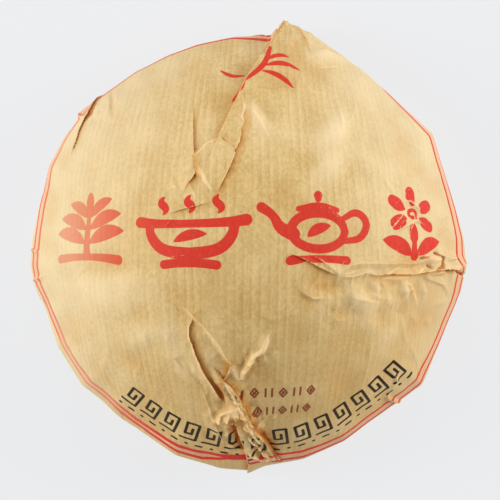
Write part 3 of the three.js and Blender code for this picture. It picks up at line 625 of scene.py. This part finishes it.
def wrap(u, v):
    """Turns places on the sheet into points of the skin, in millimetres, and keeps the relief."""
    angle = np.arctan2(v, u)
    length = np.hypot(u, v)
    relief = Relief(u, v)
    # no fold goes on under the cake, and the paper is tighter over the last stretch above the rim
    under_fade = unit(1 - (length - SECTION.to_rim) / (SECTION.to_ring - SECTION.to_rim))
    calm = 1 - 0.8 * smoothstep((length - SECTION.to_rim + 9) / 8)
    facets, crushed = crumple(u, v)
    loose = (soft_unevenness(u, v, length, angle) + facets) * calm
    soft = relief.swell + loose
    # how sunk or crushed a place is, for its painted shade, and how far it swells, for its painted
    # highlight
    relief.hollow = np.maximum(np.clip(-soft, 0, 0.6), 0.9 * np.clip(crushed - 0.5, 0, 0.5))
    relief.crest = unit(soft / 1.2)
    height = (relief.height + loose) * under_fade

    saw, grown = underside_relief(angle, length)
    on_ring = smoothstep((length - SECTION.to_ring + 2) / 2)
    on_ring = on_ring * smoothstep((SECTION.to_wall + 2 - length) / 2)
    pleats = grown * (0.85 * saw - 0.6)
    tail = 1.6 * facet_noise(u / 11, v / 11, 90) * smoothstep((length - SECTION.to_roof) / 8)
    height += pleats * (1 - on_ring) - 0.45 * on_ring * saw
    height += tail

    slid_u = u + relief.slide[:, 0] * under_fade
    slid_v = v + relief.slide[:, 1] * under_fade
    slid_angle = np.arctan2(slid_v, slid_u)
    slid_length = np.hypot(slid_u, slid_v)
    own_outline = outline_radius(slid_angle) - RIM_RADIUS
    reach = SECTION.at(SECTION.reach, slid_length)
    reach += SECTION.at(SECTION.follow, slid_length) * own_outline
    reach += SECTION.at(SECTION.outward, slid_length) * height
    z = SECTION.at(SECTION.height, slid_length) + SECTION.at(SECTION.upward, slid_length) * height
    x = DOME_CENTRE[0] + reach * np.cos(slid_angle)
    y = DOME_CENTRE[1] + reach * np.sin(slid_angle)
    return np.stack([x, y, np.maximum(z, 0)], 1), relief


def grid_on_disc():
    """A square grid drawn onto a disc with its squares nearly even: direction and share out."""
    line = np.linspace(-1, 1, GRID_CELLS + 1)
    a, b = np.meshgrid(line, line)
    sideways = np.abs(a) > np.abs(b)
    share = np.where(sideways, a, b)
    safe = np.where(share == 0, 1, share)
    angle = np.where(sideways, math.pi / 4 * b / safe, math.pi / 2 - math.pi / 4 * a / safe)
    angle = np.where(share < 0, angle + math.pi, angle)
    return angle.ravel(), np.abs(share).ravel()


def build_sheet():
    """The places of all mesh corners on the sheet and the faces between them."""
    angle, share = grid_on_disc()
    side = GRID_CELLS + 1
    top_length = share * SECTION.to_rim
    u, v = top_length * np.cos(angle), top_length * np.sin(angle)
    cell = 2 * SECTION.to_rim / GRID_CELLS
    inner = share < 1
    u[inner], v[inner] = snap_to_folds(u[inner], v[inner], cell)

    # the underside starts at the same corners on the rim and ends in the middle of the hollow
    below = SECTION.total - share[inner] * (SECTION.total - SECTION.to_rim)
    low_u, low_v = below * np.cos(angle[inner]), below * np.sin(angle[inner])
    low_index = np.arange(side * side)
    low_index[inner] = side * side + np.arange(inner.sum())

    i, j = np.meshgrid(np.arange(GRID_CELLS), np.arange(GRID_CELLS))
    a = (j * side + i).ravel()
    quads = np.stack([a, a + 1, a + side + 1, a + side], 1)
    low_quads = low_index[quads][:, ::-1]
    faces = np.concatenate([quads, low_quads])
    return np.concatenate([u, low_u]), np.concatenate([v, low_v]), faces, len(quads)


# ---- the print, in millimetres on the sheet ----

def rounded(points, radii):
    """Cuts the corners off a stroke twice, and keeps its two ends."""
    rows = np.column_stack([points, radii])
    for _ in range(2):
        start, stop = rows[:-1], rows[1:]
        cut = np.empty((2 * len(start), 3))
        cut[0::2] = 0.75 * start + 0.25 * stop
        cut[1::2] = 0.25 * start + 0.75 * stop
        rows = np.vstack([rows[:1], cut, rows[-1:]])
    return rows


class Ink:
    """The distance from every place on the sheet to the edge of one colour's print."""

    def __init__(self, u, v):
        self.u = u
        self.v = v
        self.edge = np.full(len(u), FAR)

    def stroke(self, points, radii, sharp=False):
        """A brush stroke through points, with its half width at each."""
        rows = np.column_stack([points, radii]) if sharp else rounded(points, radii)
        index = near_path(self.u, self.v, rows[:, 0], rows[:, 1], rows[:, 2].max() + 2)
        u, v, edge = self.u[index], self.v[index], self.edge[index]
        for (au, av, ar), (bu, bv, br) in zip(rows[:-1], rows[1:]):
            du, dv = bu - au, bv - av
            share = unit(((u - au) * du + (v - av) * dv) / (du * du + dv * dv))
            off = np.hypot(u - au - share * du, v - av - share * dv) - (ar + share * (br - ar))
            edge = np.minimum(edge, off)
        self.edge[index] = edge

    def stroke_above(self, points, radii):
        """A stroke through points seen from above."""
        x, y = np.array(points, float).T
        self.stroke(np.stack(unroll(x, y), 1), radii)

    def motif(self, strokes, centre, scale=(1, 1), lean=0, sharp=False):
        """Strokes drawn round a centre, stretched and turned."""
        cos, sin = math.cos(lean), math.sin(lean)
        for points, radii in strokes:
            placed = np.array(points) * scale @ [[cos, sin], [-sin, cos]] + centre
            self.stroke(placed, np.array(radii) * sum(scale) / 2, sharp)

    def ring(self, radius, half_width):
        """A line all round the sheet; radius and half_width are given for every place."""
        off = np.abs(np.hypot(self.u, self.v) - radius) - half_width
        self.edge = np.minimum(self.edge, off)


def mirrored(strokes):
    """Strokes together with their mirror image to the left."""
    return strokes + [([(-x, y) for x, y in points], radii) for points, radii in strokes]


def leaf(start, end, fat, bow=0.1):
    """A pointed leaf from its stalk to its tip, bowed to the left by a share of its length."""
    points, radii = [], []
    dx, dy = end[0] - start[0], end[1] - start[1]
    for k in range(7):
        share = k / 6
        bulge = math.sin(math.pi * share)
        points.append((start[0] + share * dx - bow * bulge * dy,
                       start[1] + share * dy + bow * bulge * dx))
        radii.append(0.2 + fat * bulge**0.8)
    return points, radii


def polar(reach, angle, centre=(0, 0)):
    return centre[0] + reach * math.cos(angle), centre[1] + reach * math.sin(angle)


def spaced(first, last, count):
    """Directions in radians, evenly spaced between two in degrees."""
    return [math.radians(first + (last - first) * k / (count - 1)) for k in range(count)]


def sprig():
    """A tea sprig: a stem with three pairs of leaves and a bud, over a bar."""
    leaves = [leaf((0.9, -4.6), (11.4, -1.4), 1.9, 0.12), leaf((0.9, -0.4), (10.4, 3.6), 1.8, 0.12),
              leaf((0.7, 3.4), (7.4, 8.2), 1.5, 0.12)]
    stem = [([(0, -7.6), (0, 0), (0, 6)], [1.2, 0.9, 0.6]), leaf((0, 5), (0, 11), 1.3, 0)]
    bar = [([(-10, -9.6), (-5, -8.9), (0, -8.8), (5, -8.9), (10, -9.6)], [1.3, 1.1, 0.9, 1.1, 1.3])]
    return mirrored(leaves) + stem + bar


def tea_bowl():
    """A tea bowl on its foot, with three curls of steam."""
    lip = [([(-13.2, 2.6), (-9, 1.9), (0, 1.6), (9, 1.9), (13.2, 2.6)], [1.5, 1.2, 1.0, 1.2, 1.5])]
    wall = mirrored([([(10.6, 1.6), (10, -2), (6.8, -5.8), (0, -6.5)], [1.2, 1.4, 1.5, 1.5])])
    mark = [leaf((-3.8, -3.2), (4.0, -1.2), 1.2)]
    foot = [([(-6.4, -9.6), (-3, -9.1), (3, -9.1), (6.4, -9.6)], [1.2, 1.1, 1.1, 1.2])]
    steam = []
    for x in (-6.8, 0, 6.8):
        curl = [(x + 0.9 * math.sin(1.3 * k), 4.6 + 1.0 * k) for k in range(6)]
        steam.append((curl, [0.3, 0.8, 1.1, 1.1, 0.8, 0.2]))
    return lip + wall + mark + foot + steam


def tea_pot():
    """A round tea pot with its lid, spout and handle, over a bar."""
    belly = [(7.4 * math.cos(turn), -1.4 + 5.2 * math.sin(turn)) for turn in spaced(0, 360, 17)]
    lid = [([(-5.2, 4.8), (0, 6.0), (5.2, 4.8)], [0.8, 1.1, 0.8]), ([(0, 7.8), (0, 8.9)], [0.9, 1.2])]
    spout = [([(-6.8, -2.4), (-10.2, -0.8), (-11.6, 2.8), (-14.6, 5.0)], [1.9, 1.6, 1.1, 1.4])]
    handle = [([(7, 2.4), (11, 5), (14.6, 1.8), (12.6, -3.4), (7.4, -4.2)], [0.8, 1.1, 1.2, 1.1, 0.8])]
    bar = [([(-7.6, -9.8), (-3, -9.3), (3, -9.3), (7.6, -9.8)], [1.2, 1.0, 1.0, 1.2])]
    return [(belly, [1.25] * 17), leaf((-3, -3), (3.2, 0.2), 1.3)] + lid + spout + handle + bar


def blossom():
    """A tea flower with six petals round a ring, on a short stem with leaves."""
    petals = []
    for turn in spaced(30, 330, 6):
        petals.append(([polar(reach, turn, (0, 3)) for reach in (3, 5.2, 7)], [0.5, 2.0, 1.7]))
    heart = [([polar(1.3, turn, (0, 3)) for turn in spaced(0, 360, 13)], [0.55] * 13)]
    stem = [([(0, -5.0), (0, -10.2)], [0.9, 1.2])]
    leaves = mirrored([leaf((1, -9.8), (9.6, -5.4), 1.9, 0.12)])
    return petals + heart + stem + leaves


def key_block(width):
    """One block of a key fret, a square line that turns in on itself."""
    w, h = width / 2, width * 0.62
    thick = width * 0.082
    line = [(-w, -h), (w * 0.8, -h), (w * 0.8, h), (-w * 0.55, h), (-w * 0.55, -h * 0.3),
            (w * 0.2, -h * 0.3), (w * 0.2, h * 0.35)]
    return [(line, [thick] * len(line))]


# The double line printed round the sheet, by direction: how far its inner and its outer line are
# from the middle, and half a line's width. It runs out of true with the cake, so it is well up the
# side below, and it goes over the rim at the top. A half width of -1 stands for no line, where the
# flap's edge hides the step from one side to the other.
RING_BY_ANGLE = [
    (0, 70.4, 74.2, 0.5), (12, 72.4, 76, 0.5), (35, 73.8, 77.4, 0.5), (50, 76.5, 80.5, 0.5),
    (60, 80.5, 84, 0.5), (82.3, 80.5, 84, 0.6), (82.4, 80.5, 84, -1),
    (84.2, 72.6, 76.2, -1), (84.3, 72.6, 76.2, 1.1), (89, 74.4, 78, 0.8),
    (95, 75.8, 79.2, 0.5), (120, 76.2, 79.4, 0.45), (138, 75.4, 78.6, 0.45), (150, 74.8, 78, 0.45),
    (165, 73, 76.2, 0.55), (176, 71.5, 74.3, 0.55), (186, 71.9, 74.9, 0.55), (196, 71.2, 74, 0.6),
    (208, 69.4, 72.3, 0.6), (218, 69, 72, 0.7), (228, 69, 72, 0.85), (236, 69.9, 72.9, 1.0),
    (246, 69.8, 73, 0.9), (257, 69.2, 73.1, 0.9), (264, 67.5, 68.9, 0.8), (269.5, 67, 68.2, 0.8),
    (270.5, 66.4, 69.8, 0.7), (277, 68.4, 73.4, 0.8), (285, 70.7, 74.6, 0.8), (293, 71.5, 75.4, 0.7),
    (305, 71.6, 75.6, 0.65), (316, 71.1, 75.2, 0.6), (326, 70.8, 74.8, 0.6), (336, 72, 75.8, 0.55),
    (347, 72.2, 76, 0.5),
]


def ring_at(angle, column):
    table = np.array(RING_BY_ANGLE).T
    return np.interp(np.degrees(angle) % 360, table[0], table[column], period=360)


# Leaves of a sprig that the flap cuts across: its stem first, then each leaf from stalk to tip.
FLAP_STEM = [(-1.9, 38.7), (1.3, 41.3), (4.1, 43.9), (5.1, 47.3)]
FLAP_LEAVES = [
    ((-0.9, 42.7), (-7.1, 43.9), 0.6),
    ((-1.1, 40.3), (-4.1, 36.1), 0.9),
    ((4.5, 44.6), (9.7, 45.9), 0.6),
    ((4.1, 43.3), (12.5, 43.1), 0.8),
    ((3.3, 42.1), (10.9, 38.7), 0.8),
]
TAB_MARK = [(-43.5, 34.3), (-42.1, 33.1)]


def print_red(u, v):
    ink = Ink(u, v)
    ink.motif(sprig(), (-47, 7.6), (1.15, 0.96))
    ink.motif(tea_bowl(), (-14.6, 6.0), (1.06, 0.9))
    ink.motif(tea_pot(), (17.4, 7.0), (0.98, 0.88))
    ink.motif(blossom(), (48.5, 9.0), (1.25, 0.95))
    ink.stroke_above(FLAP_STEM, [0.3, 0.8, 0.9, 0.6])
    ink.stroke_above(TAB_MARK, [0.6, 0.5])
    for start, end, fat in FLAP_LEAVES:
        ink.stroke_above(*leaf(start, end, fat, 0.12))
    angle = np.arctan2(v, u)
    wander = 0.2 * cloud_noise(angle * 9, 0 * angle, 21)
    inner = ring_at(angle, 1) + wander
    outer = ring_at(angle, 2) - wander
    half_width = ring_at(angle, 3)
    ink.ring(inner, half_width)
    ink.ring(outer, half_width)
    half_gap = (outer - inner) / 2
    between = np.abs(np.hypot(u, v) - (outer + inner) / 2) / half_gap
    return ink.edge, smoothstep((1.3 - between) / 0.5)


def print_black(u, v):
    """A key fret and a row of dots and dashes, both along the lower rim."""
    ink = Ink(u, v)
    for angle in spaced(231, 321, 14):
        place = polar(FRET_REACH, angle)
        ink.motif(key_block(FRET_WIDTH), place, (1, 1.1), angle + math.pi / 2, sharp=True)
    for k, angle in enumerate(spaced(229, 323, 26)):
        half = 0.9 if k % 2 else 0.15
        middle = polar(DASH_REACH, angle)
        ends = [polar(sign * half, angle + math.pi / 2, middle) for sign in (-1, 1)]
        ink.stroke(ends, [0.55, 0.55], sharp=True)
    return ink.edge


def print_brown(u, v):
    """Two short rows of small lozenges and bars, low on the dome."""
    ink = Ink(u, v)
    lozenge = [([(0, -1.6), (1.1, 0), (0, 1.6), (-1.1, 0), (0, -1.6)], [0.28] * 5),
               ([(0, -0.2), (0, 0.2)], [0.4, 0.4])]
    bar = [([(-0.9, -1.4), (-0.9, 1.4)], [0.3, 0.3]), ([(0.9, -1.4), (0.9, 1.4)], [0.3, 0.3])]
    for row, (v_row, first, last, count) in enumerate(((-38.4, -2.5, 17.5, 6), (-45.4, 2.5, 17, 5))):
        for k in range(count):
            centre = (first + (last - first) * k / (count - 1), v_row)
            ink.motif(lozenge if (k + row) % 2 else bar, centre, sharp=True)
    return ink.edge


# ---- the wrapper ----

def build_wrapper():
    u, v, faces, top_faces = build_sheet()
    points, relief = wrap(u, v)
    mesh = bpy.data.meshes.new("wrapper")
    mesh.vertices.add(len(points))
    mesh.vertices.foreach_set("co", (points * MM).ravel())
    mesh.loops.add(faces.size)
    mesh.loops.foreach_set("vertex_index", faces.ravel())
    mesh.polygons.add(len(faces))
    mesh.polygons.foreach_set("loop_start", np.arange(len(faces)) * 4)
    mesh.polygons.foreach_set("use_smooth", np.ones(len(faces), bool))
    mesh.update(calc_edges=True)
    mesh.set_sharp_from_angle(angle=math.radians(SHARP_CREASE))

    red, band = print_red(u, v)
    values = {
        "red": red,
        "black": print_black(u, v),
        "brown": print_brown(u, v),
        "ring_band": band,
        # a pale line of wear and painted highlight, and a dark line of painted shade
        "wear_and_highlight": relief.wear_and_highlight,
        "gap": relief.gap,
        # painted warm shade beside laps and in sunk and crushed places
        "warm": np.maximum(relief.warm, relief.hollow),
        # a painted highlight on the swells
        "pale": relief.crest,
    }
    for name, value in values.items():
        layer = mesh.attributes.new(name, "FLOAT", "POINT")
        layer.data.foreach_set("value", value.astype(np.float32))
    sheet = mesh.attributes.new("sheet", "FLOAT_VECTOR", "POINT")
    sheet.data.foreach_set("vector", np.stack([u, v, 0 * u], 1).astype(np.float32).ravel())
    add_map(mesh, u, v, faces, top_faces)
    wrapper = bpy.data.objects.new("paper_wrapper", mesh)
    bpy.context.collection.objects.link(wrapper)
    return wrapper


def add_map(mesh, u, v, faces, top_faces):
    """A map with two discs on it: the dome's sheet, and the underside drawn out flat."""
    top_radius = SECTION.to_rim
    low_radius = SECTION.total - SECTION.to_rim
    margin = 2
    size = (top_radius + low_radius + 2 * margin) * (1 + math.sqrt(0.5))
    length = np.maximum(np.hypot(u, v), 1e-9)
    low_reach = SECTION.total - length
    top = np.stack([u, v], 1) + top_radius + margin
    low = np.stack([u / length * low_reach, v / length * low_reach], 1) + size - low_radius - margin
    corners = np.concatenate([top[faces[:top_faces].ravel()], low[faces[top_faces:].ravel()]])
    layer = mesh.uv_layers.new(name="OFBake")
    layer.uv.foreach_set("vector", (corners / size).astype(np.float32).ravel())


# ---- the paper's material ----

class Nodes:
    """A short way to add nodes to a material or a world and join them."""

    def __init__(self, owner):
        owner.use_nodes = True
        self.tree = owner.node_tree
        self.tree.nodes.clear()

    def add(self, kind, inputs=(), **settings):
        """A new node; inputs maps its sockets to values or to other nodes' outputs."""
        node = self.tree.nodes.new(kind)
        for name, value in settings.items():
            setattr(node, name, value)
        for name, value in dict(inputs).items():
            if isinstance(value, bpy.types.NodeSocket):
                self.tree.links.new(value, node.inputs[name])
            else:
                node.inputs[name].default_value = value
        return node

    def math(self, operation, a, b=0.0, c=0.0):
        return self.add("ShaderNodeMath", {0: a, 1: b, 2: c}, operation=operation).outputs[0]

    def times(self, a, b, plus=0.0):
        """a times b, plus a third value."""
        return self.math("MULTIPLY_ADD", a, b, plus)

    def split(self, vector):
        """The x, the y and the z of a vector."""
        return self.add("ShaderNodeSeparateXYZ", {0: vector}).outputs

    def attribute(self, name, output="Fac"):
        return self.add("ShaderNodeAttribute", attribute_name=name).outputs[output]

    def inside(self, name, grain, roughness, soft):
        """1 inside the outline that an attribute gives as a distance, with a rough, soft edge."""
        return self.ramp(self.times(grain, roughness, self.attribute(name)), -soft, soft, 1, 0)

    def ramp(self, value, low, high, to_low=0.0, to_high=1.0):
        inputs = {0: value, 1: low, 2: high, 3: to_low, 4: to_high}
        return self.add("ShaderNodeMapRange", inputs, interpolation_type="SMOOTHSTEP").outputs[0]

    def mix(self, factor, a, b, blend="MIX"):
        inputs = {"Factor": factor, 6: a, 7: b}
        return self.add("ShaderNodeMix", inputs, data_type="RGBA", blend_type=blend).outputs[2]

    def noise(self, vector, stretch, detail=2.0, roughness=0.5):
        scaled = self.add("ShaderNodeVectorMath", {0: vector, 1: stretch}, operation="MULTIPLY")
        inputs = {"Vector": scaled.outputs[0], "Scale": 1, "Detail": detail, "Roughness": roughness}
        return self.add("ShaderNodeTexNoise", inputs, noise_dimensions="3D").outputs["Fac"]

    def surface(self, inputs):
        """A shader joined to the output."""
        shader = self.add("ShaderNodeBsdfPrincipled", inputs)
        self.add("ShaderNodeOutputMaterial", {0: shader.outputs[0]})


def srgb(red, green, blue):
    """A colour given as screen values from 0 to 255, as a shader takes it."""
    def linear(value):
        value /= 255
        return value / 12.92 if value <= 0.04045 else ((value + 0.055) / 1.055) ** 2.4
    return (linear(red), linear(green), linear(blue), 1)


KRAFT_LIGHT = srgb(234, 203, 143)
KRAFT_DARK = srgb(202, 166, 101)
KRAFT_WORN_HIGHLIGHT = srgb(255, 221, 166)
KRAFT_PAINTED_HIGHLIGHT = srgb(252, 228, 184)
KRAFT_PAINTED_SHADE = srgb(184, 106, 34)
KRAFT_WARM_SHADE = srgb(238, 206, 156)
KRAFT_LOW_SHADE = srgb(214, 168, 92)
KRAFT_SIDE_LIGHT = srgb(234, 214, 174)
RING_BLUSH = srgb(238, 172, 140)
INK_RED = srgb(220, 52, 44)
INK_BLACK = srgb(14, 5, 0)
INK_BROWN = srgb(140, 66, 38)
RIB_PITCH = 2.1           # between the paper's ribs


def rib_pattern(n, sheet):
    """Ribs up the sheet at two pitches, wandering a little and stronger in some places."""
    drift = n.noise(sheet, (0.10, 0.02, 0))
    across = n.times(drift, 2.2, n.split(sheet)[0])
    rib = n.math("SINE", n.times(across, 2 * math.pi / RIB_PITCH))
    half_rib = n.math("SINE", n.times(across, 4 * math.pi / RIB_PITCH))
    strong = n.ramp(n.noise(sheet, (0.16, 0.04, 0)), 0.35, 0.65, 0.2, 1)
    return n.times(n.times(half_rib, 0.5, rib), strong)


def centred_noise(n, sheet, stretch, detail, roughness=0.6):
    return n.math("SUBTRACT", n.noise(sheet, stretch, detail, roughness), 0.5)


def paper_colour(n, across, up, weights):
    """Kraft with its streaks and specks, with painted light making it paler towards the sides and a
    little towards the top, and painted shade making it darker and more gold-brown low down and to the
    right.
    """
    tone = 0.54
    for part, weight in weights:
        tone = n.times(part, weight, tone)
    colour = n.mix(n.ramp(tone, 0, 1), KRAFT_DARK, KRAFT_LIGHT)
    # painted light: paler towards the sides and a little towards the top; painted shade: darker and more
    # gold-brown low down and to the right
    painted_side_light = n.ramp(n.times(up, 0.25, n.math("ABSOLUTE", across)), 10, 72, 0, 0.62)
    painted_low_shade = n.ramp(n.math("SUBTRACT", n.times(across, 0.6), up), -5, 75, 0, 0.34)
    colour = n.mix(painted_side_light, colour, KRAFT_SIDE_LIGHT)
    colour = n.mix(painted_low_shade, colour, KRAFT_LOW_SHADE)
    # a painted highlight on the swells
    colour = n.mix(n.times(n.attribute("pale"), 0.65), colour, KRAFT_PAINTED_HIGHLIGHT)
    return n.mix(n.times(n.attribute("ring_band"), 0.5), colour, RING_BLUSH)


def printed(n, colour, across, up, grain, uneven, wear_and_highlight):
    """Ink lies thinner where the paper is rough and wears off along sharp folds, where a painted
    highlight pales it too.

    The red is paler on the left, a painted highlight, and deeper low down, a painted shade.
    """
    cover = n.times(n.ramp(uneven, -0.4, 0.0, 0.82, 0.97), n.times(wear_and_highlight, -0.45, 1))
    # the red paled on the left by a painted highlight, less so at the rim there, and deepened low down
    # by a painted shade
    edge = n.ramp(n.math("ABSOLUTE", across), 62, 68, 0, 0.72)
    left = n.ramp(across, -60, -20, 0.52, 1)
    red_highlight_and_shade = n.times(n.math("MAXIMUM", left, edge), n.ramp(up, -68, -45, 1.15, 1))
    for name, ink, fade in (("red", INK_RED, red_highlight_and_shade), ("brown", INK_BROWN, 1), ("black", INK_BLACK, 1)):
        mask = n.times(n.inside(name, grain, 0.14, INK_EDGE), n.times(cover, fade))
        colour = n.mix(mask, colour, ink)
    return colour


def kraft_material():
    material = bpy.data.materials.new("ribbed_kraft")
    n = Nodes(material)
    sheet = n.attribute("sheet", "Vector")
    across, up, _ = n.split(sheet)
    ribs = rib_pattern(n, sheet)
    streak = centred_noise(n, sheet, (0.9, 0.035, 0), 3)
    mottle = centred_noise(n, sheet, (0.14, 0.10, 0), 4)
    clump = centred_noise(n, sheet, (1.3, 0.8, 0), 3)
    grain = centred_noise(n, sheet, (4.5, 2.6, 0), 2)
    uneven = n.math("ADD", grain, clump)
    wear_and_highlight = n.inside("wear_and_highlight", uneven, 0.6, LINE_EDGE)
    gap = n.inside("gap", uneven, 0.25, LINE_EDGE)

    weights = ((ribs, 0.13), (streak, 0.34), (mottle, 1.1), (clump, 1.1), (grain, 0.9))
    colour = paper_colour(n, across, up, weights)
    colour = printed(n, colour, across, up, grain, uneven, wear_and_highlight)
    # the pale lines along sharp folds: wear, and a painted highlight
    colour = n.mix(n.times(wear_and_highlight, 0.85), colour, KRAFT_WORN_HIGHLIGHT)
    # painted warm shade beside laps and in sunk and crushed places
    colour = n.mix(n.attribute("warm"), colour, KRAFT_WARM_SHADE, "MULTIPLY")
    # painted shade: a dark line at the foot of laps, along grooves and in the slit
    colour = n.mix(n.times(gap, 0.8), colour, KRAFT_PAINTED_SHADE)

    relief = n.times(streak, 0.5, n.times(clump, 0.6, n.times(grain, 0.6, n.times(ribs, 0.18))))
    bump = n.add("ShaderNodeBump", {"Height": relief, "Strength": 0.5, "Distance": 0.14 * MM})
    n.surface({
        "Base Color": colour,
        "Roughness": n.ramp(n.math("ADD", clump, mottle), -0.4, 0.4, 0.34, 0.50),
        "Specular IOR Level": 0.05,
        "Normal": bump.outputs[0],
    })
    return material


# ---- floor, lights and camera ----

def add_floor():
    """A pale square floor just below the cake, with its half side in metres."""
    half = 4
    mesh = bpy.data.meshes.new("floor")
    corners = [(-half, -half), (half, -half), (half, half), (-half, half)]
    mesh.from_pydata([(x, y, -FLOOR_GAP * MM) for x, y in corners], [], [(0, 1, 2, 3)])
    floor = bpy.data.objects.new("floor", mesh)
    bpy.context.collection.objects.link(floor)
    material = bpy.data.materials.new("pale_floor")
    Nodes(material).surface({
        "Base Color": (0.12, 0.12, 0.12, 1),
        "Roughness": 0.9,
        "Specular IOR Level": 0.1,
        "Emission Color": STUDIO_WHITE,
        "Emission Strength": FLOOR_GLOW,
    })
    mesh.materials.append(material)


def add_light(name, place, size, power, colour=(1, 1, 1)):
    """A soft box in metres that looks at the cake."""
    light = bpy.data.lights.new(name, "AREA")
    light.shape = "RECTANGLE"
    light.size, light.size_y = size
    light.energy = power
    light.color = colour
    ob = bpy.data.objects.new(name, light)
    ob.location = place
    aim = -ob.location.normalized()
    ob.rotation_mode = "QUATERNION"
    ob.rotation_quaternion = aim.to_track_quat("-Z", "Y")
    bpy.context.collection.objects.link(ob)


def add_lights():
    add_light("key_left", (-0.91, 0.06, 0.43), (0.45, 0.6), 6.2)
    add_light("fill_right", (0.89, 0.24, 0.42), (0.5, 0.6), 5.9)
    add_light("top_back", (0.0, 0.75, 0.65), (0.6, 0.5), 1.5)
    world = bpy.data.worlds.new("studio")
    n = Nodes(world)
    up = n.split(n.add("ShaderNodeTexCoord").outputs["Generated"])[2]
    strength = n.ramp(up, 0.06, 0.3, 0.78, 0.36)
    background = n.add("ShaderNodeBackground", {"Color": STUDIO_WHITE, "Strength": strength})
    n.add("ShaderNodeOutputWorld", {0: background.outputs[0]})
    bpy.context.scene.world = world


def add_camera():
    data = bpy.data.cameras.new("camera")
    data.sensor_width = SENSOR
    data.lens = SENSOR * CAMERA_HEIGHT / VIEW_WIDTH
    data.clip_end = 10
    camera = bpy.data.objects.new("camera", data)
    camera.location = (CAMERA_AIM[0] * MM, CAMERA_AIM[1] * MM, (CAMERA_HEIGHT + RIM_HEIGHT) * MM)
    bpy.context.collection.objects.link(camera)
    bpy.context.scene.camera = camera


add_camera()
add_floor()
add_lights()
bpy.context.scene.view_settings.view_transform = "Standard"

paper_wrapper = build_wrapper()
paper_wrapper.data.materials.append(kraft_material())
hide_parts("wrapped_tuocha")
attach(paper_wrapper, "root")
